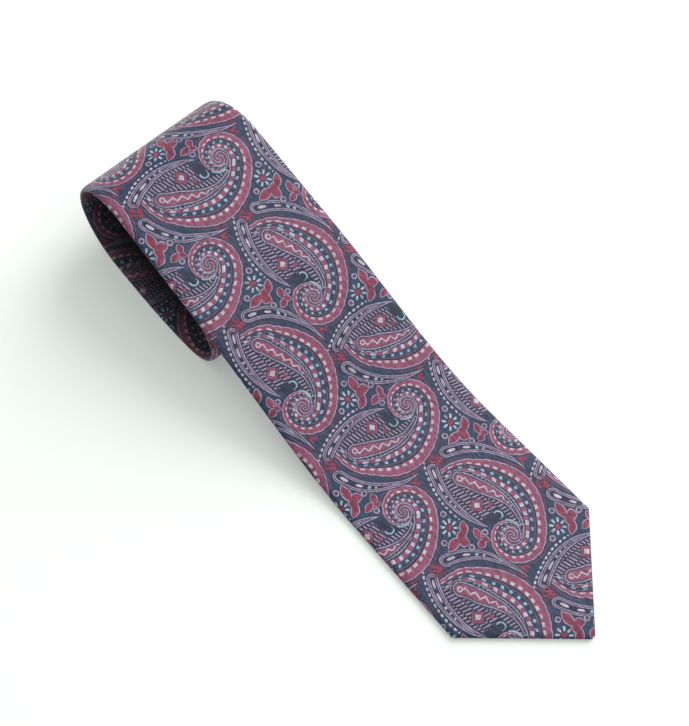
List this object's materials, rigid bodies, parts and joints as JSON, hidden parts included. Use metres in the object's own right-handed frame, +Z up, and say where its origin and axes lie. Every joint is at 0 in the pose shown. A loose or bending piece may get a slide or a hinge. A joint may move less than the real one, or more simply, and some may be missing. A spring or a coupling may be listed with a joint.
{
  "type": "necktie",
  "caption": "Long woven necktie with a pointed front blade drawn out flat from a loose flattened roll, with keeper loop, blank labels, interlining and lined tips.",
  "frame": {"origin": "centre of the bounding box at its base, where the roll and the blade rest", "axes": "+Y from the front tip towards the roll, +X across the necktie, +Z up"},
  "size_m": [0.089, 0.3071, 0.0539],
  "materials": {
    "silk": "woven paisley silk, soft satin sheen",
    "wool": "brushed wool interlining",
    "lining": "smooth plain lining",
    "label": "woven damask, blank",
    "care": "white satin tape, blank",
    "thread": "twisted sewing thread"
  },
  "bodies": {
    "roll": {"front_roll_panel": "silk", "neck_band": "silk", "tail_blade": "silk", "roll_interlining": "wool", "tail_tipping": "lining", "tail_bar_tack": "thread", "roll_slip_stitch": "thread", "panel_seam_threads": "thread", "front_fold": "silk", "fold_interlining": "wool", "fold_slip_stitch": "thread"},
    "blade": {"front_blade": "silk", "blade_interlining": "wool", "front_tipping": "lining", "keeper_loop": "silk", "maker_label": "label", "label_stitches": "thread", "front_bar_tack": "thread", "blade_slip_stitch": "thread", "slack_thread": "thread"},
    "care": {"care_label": "care"}
  },
  "joints": [
    {"name": "blade_lift", "type": "hinge", "parent": "roll", "child": "blade", "pos_m": [0, 0.1266, 0.027], "axis": [-1, 0, 0], "range_deg": [0, 60], "deforming": ["front_fold", "fold_interlining", "fold_slip_stitch"]},
    {"name": "care_label_swing", "type": "hinge", "parent": "blade", "child": "care", "pos_m": [0, 0.02681, 0.01948], "axis": [1, 0, 0], "range_deg": [0, 28]}
  ]
}
